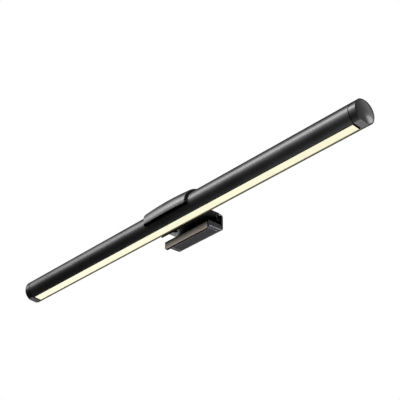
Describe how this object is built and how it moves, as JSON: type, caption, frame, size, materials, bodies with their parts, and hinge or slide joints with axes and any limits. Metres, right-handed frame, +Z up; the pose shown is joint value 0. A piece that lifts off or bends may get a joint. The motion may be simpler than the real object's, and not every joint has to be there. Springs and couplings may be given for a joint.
{
  "type": "monitor light bar",
  "caption": "LED light bar that rests on a monitor's top edge: a tilting tube with a diffuser strip, held in a hood over a sprung clip",
  "frame": {"origin": "middle of the seat pad's lower face, which rests on the monitor's top edge", "axes": "+X along the bar, -Y towards the person at the desk, +Z up"},
  "size_m": [0.45, 0.0467, 0.0345],
  "materials": {
    "anodised_black": "satin anodised",
    "hood_plastic": "fine matt",
    "clip_plastic": "fine matt",
    "cap_black": "semi gloss",
    "cap_satin": "satin",
    "gloss_black": "gloss",
    "diffuser_white": "frosted",
    "white_plastic": "smooth",
    "board_white": "solder mask",
    "board_green": "solder mask",
    "black_parts": "moulded",
    "led_yellow": "smooth",
    "film": "polyimide film",
    "felt_rubber": "flocked",
    "soft_rubber": "matt",
    "grey_rubber": "matt",
    "steel": "bright"
  },
  "bodies": {
    "bracket": {"hood": "hood_plastic", "touch_panel": "gloss_black", "touch_film": "film", "tilt_stop": "white_plastic", "friction_pads": "felt_rubber", "control_board": "board_green", "board_parts": "black_parts", "usb_shell": "steel", "usb_tongue": "black_parts", "led_lead": "film", "clip_base": "clip_plastic", "lip_pad": "soft_rubber", "seat_pad": "soft_rubber", "base_screws": "steel", "hinge_pin": "steel", "torsion_springs": "steel"},
    "bar": {"tube": "anodised_black", "diffuser": "diffuser_white", "reflector_strips": "white_plastic", "led_board": "board_white", "leds": "led_yellow", "left_end_cap": "cap_black", "right_end_cap": "cap_black", "left_cap_disc": "cap_satin", "right_cap_disc": "cap_satin", "cap_screws": "steel"},
    "jaw": {"jaw_arm": "clip_plastic", "jaw_weight": "steel", "jaw_cover": "clip_plastic", "nose_pad": "grey_rubber"}
  },
  "joints": [
    {"name": "bar_tilt", "type": "hinge", "parent": "bracket", "child": "bar", "pos_m": [0, -0.0191, 0.0025], "axis": [1, 0, 0], "range_deg": [-13, 27], "deforming": ["led_lead"]},
    {"name": "jaw_hinge", "type": "hinge", "parent": "bracket", "child": "jaw", "pos_m": [0, 0.0099, -0.0005], "axis": [1, 0, 0], "range_deg": [0, 90], "stiffness_Nm_per_rad": 0.05, "springref_deg": -57.3, "deforming": ["torsion_springs"]}
  ]
}
